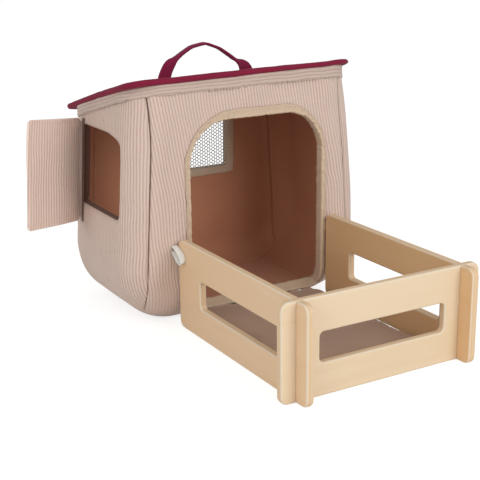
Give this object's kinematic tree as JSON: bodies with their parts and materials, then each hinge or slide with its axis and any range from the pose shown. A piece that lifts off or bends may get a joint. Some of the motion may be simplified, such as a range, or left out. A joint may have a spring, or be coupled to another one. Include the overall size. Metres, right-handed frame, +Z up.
{
  "type": "toy stable",
  "caption": "Soft-sided toy stable with a padded sloping roof, carrying strap, hatch flap and net window, with a slotted wooden pen and mat at its doorway.",
  "frame": {"origin": "middle of the stall's base, on the floor", "axes": "+Z up, +Y from the doorway to the back wall, -Y towards the pen, +X to the right seen from the front"},
  "size_m": [0.4096, 0.4557, 0.3105],
  "materials": {
    "corduroy": "ribbed corduroy, pinkish beige",
    "base_cloth": "plain woven cloth, brown",
    "lining": "plain woven lining, dark brown",
    "stiff_board": "closed-cell foam board, matte",
    "roof_cloth": "plain woven cloth, wine red",
    "webbing": "folded cloth strap, wine red",
    "binding_tape": "cotton tape, beige",
    "net": "open knitted net, dark grey",
    "wood": "pale plywood, clear matte lacquer",
    "mat_cloth": "brushed cloth, taupe",
    "white_tape": "woven tape, white"
  },
  "bodies": {
    "house": {"front_cover": "corduroy", "back_cover": "corduroy", "left_cover": "corduroy", "right_cover": "corduroy", "base_cover": "base_cloth", "front_board": "stiff_board", "back_board": "stiff_board", "left_board": "stiff_board", "right_board": "stiff_board", "floor_board": "stiff_board", "front_lining": "lining", "back_lining": "lining", "left_lining": "lining", "right_lining": "lining", "floor_lining": "lining", "hatch_facing": "lining", "roof_band": "corduroy", "doorway_binding": "binding_tape", "window_binding": "binding_tape", "window_net": "net", "roof_cover": "roof_cloth", "roof_board": "stiff_board", "roof_lining": "lining", "strap_patches": "roof_cloth", "pen_loop_left": "white_tape", "pen_loop_right": "white_tape"},
    "flap": {"flap_outer_cover": "corduroy", "flap_inner_cover": "corduroy", "flap_board": "stiff_board"},
    "handle": {"carry_strap": "webbing"},
    "pen": {"pen_left_side": "wood", "pen_right_side": "wood"},
    "pen_front": {"pen_front_panel": "wood"},
    "mat": {"pen_mat": "mat_cloth"}
  },
  "joints": [
    {"name": "flap_hinge", "type": "hinge", "parent": "house", "child": "flap", "pos_m": [-0.16839, 0.051, 0.00016], "axis": [-0.067, 0, -0.9978], "range_deg": [-50, 80]},
    {"name": "handle_hinge", "type": "hinge", "parent": "house", "child": "handle", "pos_m": [0, 0.019, 0.26055], "axis": [1, 0, 0], "range_deg": [-92, 60]},
    {"name": "pen_slide", "type": "slide", "parent": "house", "child": "pen", "axis": [0, -1, 0], "range_m": [0, 0.12]},
    {"name": "front_lift", "type": "slide", "parent": "pen", "child": "pen_front", "axis": [0, 0, 1], "range_m": [0, 0.12]},
    {"name": "mat_lift", "type": "slide", "parent": "pen", "child": "mat", "axis": [0, 0, 1], "range_m": [0, 0.13]}
  ]
}
